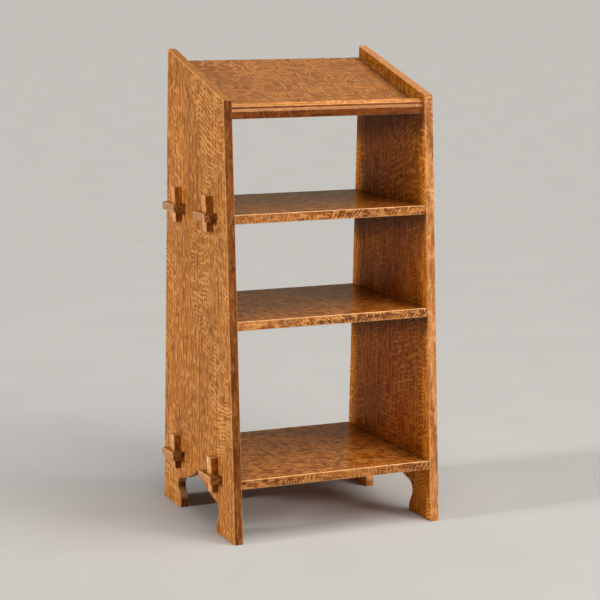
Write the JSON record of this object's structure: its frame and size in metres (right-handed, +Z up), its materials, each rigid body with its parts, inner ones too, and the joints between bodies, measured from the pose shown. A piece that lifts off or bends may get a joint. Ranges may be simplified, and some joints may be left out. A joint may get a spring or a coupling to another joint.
{
  "type": "atlas stand",
  "caption": "Open oak atlas stand with tapered sides, a sloping desk with a book stop, open shelves and keyed through tenons.",
  "frame": {"origin": "on the floor, under the middle of the stand", "axes": "+Z up, the front faces -Y, +X to the right as seen from the front"},
  "size_m": [0.5652, 0.457, 1.067],
  "materials": {
    "oak": "satin varnish over fumed quarter-sawn oak",
    "key_oak": "satin varnish over fumed oak",
    "dowel_wood": "bare birch"
  },
  "bodies": {
    "stand": {"left_side": "oak", "right_side": "oak", "upper_shelf": "oak", "middle_shelf": "oak", "bottom_shelf": "oak", "desk_board": "oak", "front_rail": "oak", "book_stop": "oak", "stop_dowels": "dowel_wood"},
    "upper_left_front_wedge": {"upper_left_front_key": "key_oak"},
    "upper_left_back_wedge": {"upper_left_back_key": "key_oak"},
    "upper_right_front_wedge": {"upper_right_front_key": "key_oak"},
    "upper_right_back_wedge": {"upper_right_back_key": "key_oak"},
    "bottom_left_front_wedge": {"bottom_left_front_key": "key_oak"},
    "bottom_left_back_wedge": {"bottom_left_back_key": "key_oak"},
    "bottom_right_front_wedge": {"bottom_right_front_key": "key_oak"},
    "bottom_right_back_wedge": {"bottom_right_back_key": "key_oak"}
  },
  "joints": [
    {"name": "upper_left_front_lift", "type": "slide", "parent": "stand", "child": "upper_left_front_wedge", "axis": [0, 0, 1], "range_m": [0, 0.05]},
    {"name": "upper_left_back_lift", "type": "slide", "parent": "stand", "child": "upper_left_back_wedge", "axis": [0, 0, 1], "range_m": [0, 0.05]},
    {"name": "upper_right_front_lift", "type": "slide", "parent": "stand", "child": "upper_right_front_wedge", "axis": [0, 0, 1], "range_m": [0, 0.05]},
    {"name": "upper_right_back_lift", "type": "slide", "parent": "stand", "child": "upper_right_back_wedge", "axis": [0, 0, 1], "range_m": [0, 0.05]},
    {"name": "bottom_left_front_lift", "type": "slide", "parent": "stand", "child": "bottom_left_front_wedge", "axis": [0, 0, 1], "range_m": [0, 0.05]},
    {"name": "bottom_left_back_lift", "type": "slide", "parent": "stand", "child": "bottom_left_back_wedge", "axis": [0, 0, 1], "range_m": [0, 0.05]},
    {"name": "bottom_right_front_lift", "type": "slide", "parent": "stand", "child": "bottom_right_front_wedge", "axis": [0, 0, 1], "range_m": [0, 0.05]},
    {"name": "bottom_right_back_lift", "type": "slide", "parent": "stand", "child": "bottom_right_back_wedge", "axis": [0, 0, 1], "range_m": [0, 0.05]}
  ]
}
